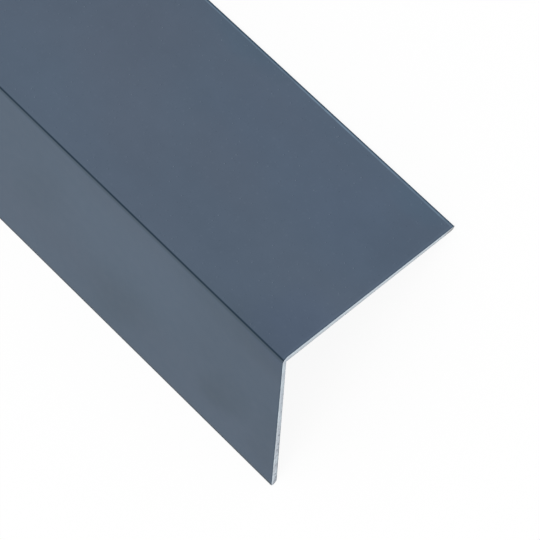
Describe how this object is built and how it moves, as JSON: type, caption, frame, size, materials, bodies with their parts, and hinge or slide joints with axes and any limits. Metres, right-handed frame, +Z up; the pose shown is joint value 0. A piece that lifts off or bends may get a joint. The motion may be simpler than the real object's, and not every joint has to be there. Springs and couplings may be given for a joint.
{
  "type": "metal angle section",
  "caption": "Equal-leg angle section folded from thin coated aluminium sheet, a straight retail length with bare sheared ends, lying on its two free edges.",
  "frame": {"origin": "on the floor that the two free edges lie on, midway between them and halfway along the stock", "axes": "+X along the stock towards the end that is sheared out of square, +Z up through the fold, +Y towards the free edge of leg A"},
  "size_m": [1, 0.0706, 0.0353],
  "materials": {
    "coated_sheet": "satin anthracite blue-grey coating on aluminium sheet, bare bright metal at the sheared ends"
  },
  "bodies": {
    "root": {"angle_section": "coated_sheet"}
  },
  "joints": []
}
